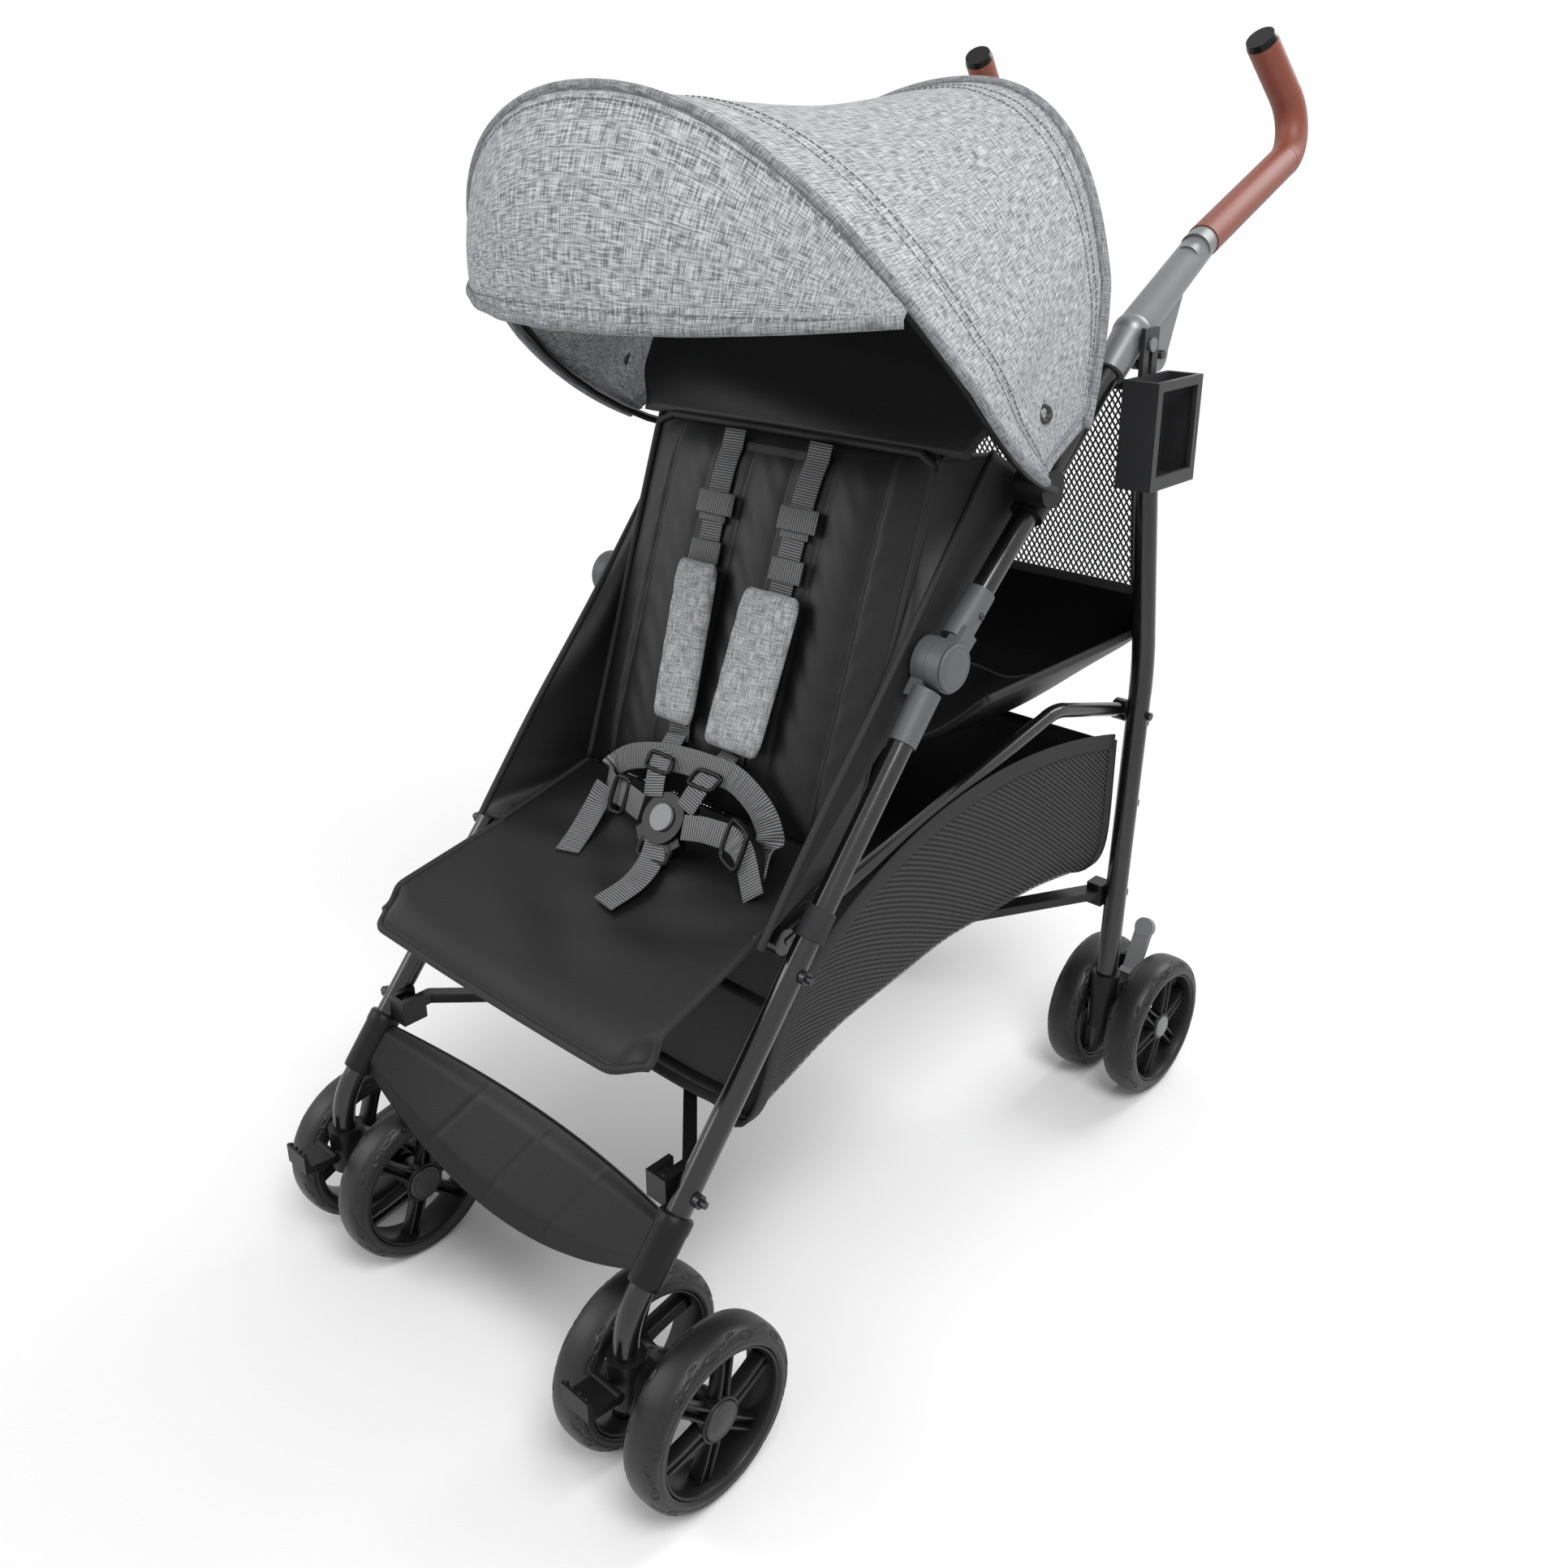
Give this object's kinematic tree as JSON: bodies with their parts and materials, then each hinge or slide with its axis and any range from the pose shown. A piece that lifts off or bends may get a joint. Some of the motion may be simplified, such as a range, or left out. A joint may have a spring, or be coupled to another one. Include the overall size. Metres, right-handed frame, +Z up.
{
  "type": "tandem stroller",
  "caption": "Lightweight tandem stroller with folding tube frame, hooded front seat, sling rear seat, basket, swivel casters, brake pedals and bent push handles.",
  "frame": {"origin": "on the floor under the middle of the stroller, midway between the front and rear axles", "axes": "+X across to the right side of the picture, +Y to the rear where the handles are, +Z up"},
  "size_m": [0.506, 0.9919, 1.0695],
  "materials": {
    "tube_black": "satin black powder coat",
    "bracket_black": "black paint",
    "hub_grey": "moulded grey",
    "bracket_silver": "silver-grey moulding",
    "grip_leather": "reddish-brown leatherette",
    "gloss_black": "black",
    "steel": "dark steel",
    "tyre": "black foam tyre",
    "rim_black": "black moulding",
    "plastic_black": "black moulding",
    "plastic_grey": "grey moulding",
    "plastic_dark_grey": "dark grey moulding",
    "bow_black": "black rod",
    "canopy_fabric": "light grey melange",
    "pad_fabric": "grey melange",
    "webbing": "grey webbing",
    "mesh": "black mesh",
    "seat_fabric": "black polyester"
  },
  "bodies": {
    "rear_frame": {"rear_leg_left": "tube_black", "rear_leg_right": "tube_black", "rear_housing_left": "plastic_black", "rear_housing_right": "plastic_black", "rear_brace": "bracket_black", "rear_bolts": "steel", "rear_seat": "seat_fabric", "rear_net": "mesh", "basket": "mesh"},
    "upper_frame": {"upper_tube_left": "tube_black", "upper_tube_right": "tube_black", "hub_upper_left": "hub_grey", "hub_upper_right": "hub_grey", "handle_bracket_left": "bracket_silver", "handle_bracket_right": "bracket_silver", "handle_grip_left": "grip_leather", "handle_grip_right": "grip_leather", "grip_caps": "gloss_black", "canopy_clamps": "plastic_black", "canopy_bow_rear": "bow_black", "canopy_cover": "canopy_fabric", "seat_back": "seat_fabric", "head_panel": "seat_fabric", "seat_wings": "seat_fabric", "harness": "webbing", "shoulder_pads": "pad_fabric", "buckle": "gloss_black"},
    "front_legs": {"front_leg_left": "tube_black", "front_leg_right": "tube_black", "hub_lower_left": "hub_grey", "hub_lower_right": "hub_grey", "footrest": "plastic_black", "brace_knuckles": "bracket_black", "front_bolts": "steel", "seat_base": "seat_fabric"},
    "front_brace": {"front_brace": "bracket_black"},
    "side_rails": {"side_rail_left": "tube_black", "side_rail_right": "tube_black"},
    "canopy_front": {"canopy_bow_front": "bow_black", "canopy_visor": "canopy_fabric"},
    "buckle_button": {"buckle_button": "plastic_grey"},
    "cup_holder": {"cup_holder": "plastic_dark_grey"},
    "caster_left": {"caster_fork_left": "plastic_black"},
    "swivel_lock_left": {"swivel_lock_left": "plastic_black"},
    "front_wheels_left": {"front_axle_left": "steel", "front_rims_left": "rim_black", "front_tyres_left": "tyre"},
    "brake_left": {"brake_pedal_left": "plastic_grey"},
    "rear_wheels_left": {"rear_axle_left": "steel", "rear_rims_left": "rim_black", "rear_tyres_left": "tyre"},
    "caster_right": {"caster_fork_right": "plastic_black"},
    "swivel_lock_right": {"swivel_lock_right": "plastic_black"},
    "front_wheels_right": {"front_axle_right": "steel", "front_rims_right": "rim_black", "front_tyres_right": "tyre"},
    "brake_right": {"brake_pedal_right": "plastic_grey"},
    "rear_wheels_right": {"rear_axle_right": "steel", "rear_rims_right": "rim_black", "rear_tyres_right": "tyre"}
  },
  "joints": [
    {"name": "frame_fold", "type": "hinge", "parent": "rear_frame", "child": "upper_frame", "pos_m": [0, 0.272, 0.794], "axis": [-1, 0, 0], "range_deg": [0, 40]},
    {"name": "hub_fold", "type": "hinge", "parent": "upper_frame", "child": "front_legs", "pos_m": [0, -0.03, 0.582], "axis": [1, 0, 0], "range_deg": [0, 62.8], "deforming": ["seat_wings", "harness"]},
    {"name": "rail_fold", "type": "hinge", "parent": "rear_frame", "child": "side_rails", "pos_m": [0, 0.31539, 0.437], "axis": [-1, 0, 0], "range_deg": [0, 22.3], "deforming": ["basket", "rear_seat"]},
    {"name": "brace_fold", "type": "hinge", "parent": "front_legs", "child": "front_brace", "pos_m": [0, -0.32095, 0.24134], "axis": [-1, 0, 0], "range_deg": [0, 79.6]},
    {"name": "caster_left_swivel", "type": "hinge", "parent": "front_legs", "child": "caster_left", "pos_m": [-0.194, -0.387, 0.12], "axis": [0, 0, 1], "continuous": true},
    {"name": "swivel_lock_left_lift", "type": "hinge", "parent": "caster_left", "child": "swivel_lock_left", "pos_m": [-0.194, -0.407, 0.118], "axis": [-1, 0, 0], "range_deg": [0, 25]},
    {"name": "front_wheels_left_spin", "type": "hinge", "parent": "caster_left", "child": "front_wheels_left", "pos_m": [-0.194, -0.344, 0.076], "axis": [1, 0, 0], "continuous": true},
    {"name": "brake_left_press", "type": "hinge", "parent": "rear_frame", "child": "brake_left", "pos_m": [-0.188, 0.352, 0.116], "axis": [-1, 0, 0], "range_deg": [0, 25]},
    {"name": "rear_wheels_left_spin", "type": "hinge", "parent": "rear_frame", "child": "rear_wheels_left", "pos_m": [-0.188, 0.344, 0.076], "axis": [1, 0, 0], "continuous": true},
    {"name": "caster_right_swivel", "type": "hinge", "parent": "front_legs", "child": "caster_right", "pos_m": [0.194, -0.387, 0.12], "axis": [0, 0, 1], "continuous": true},
    {"name": "swivel_lock_right_lift", "type": "hinge", "parent": "caster_right", "child": "swivel_lock_right", "pos_m": [0.194, -0.407, 0.118], "axis": [-1, 0, 0], "range_deg": [0, 25]},
    {"name": "front_wheels_right_spin", "type": "hinge", "parent": "caster_right", "child": "front_wheels_right", "pos_m": [0.194, -0.344, 0.076], "axis": [1, 0, 0], "continuous": true},
    {"name": "brake_right_press", "type": "hinge", "parent": "rear_frame", "child": "brake_right", "pos_m": [0.188, 0.352, 0.116], "axis": [-1, 0, 0], "range_deg": [0, 25]},
    {"name": "rear_wheels_right_spin", "type": "hinge", "parent": "rear_frame", "child": "rear_wheels_right", "pos_m": [0.188, 0.344, 0.076], "axis": [1, 0, 0], "continuous": true},
    {"name": "canopy_fold", "type": "hinge", "parent": "upper_frame", "child": "canopy_front", "pos_m": [0, 0.082, 0.708], "axis": [-1, 0, 0], "range_deg": [0, 40], "deforming": ["canopy_cover"]},
    {"name": "buckle_button_press", "type": "slide", "parent": "upper_frame", "child": "buckle_button", "axis": [0, 0.8191, -0.5736], "range_m": [0, 0.0025], "stiffness_N_per_m": 800},
    {"name": "cup_holder_lift", "type": "slide", "parent": "upper_frame", "child": "cup_holder", "axis": [0, 0, 1], "range_m": [0, 0.02]}
  ],
  "couplings": [
    {"joint": "hub_fold", "follows": "frame_fold", "ratio": 1.57},
    {"joint": "rail_fold", "follows": "frame_fold", "ratio": 0.5575},
    {"joint": "brace_fold", "follows": "frame_fold", "ratio": 1.99}
  ]
}
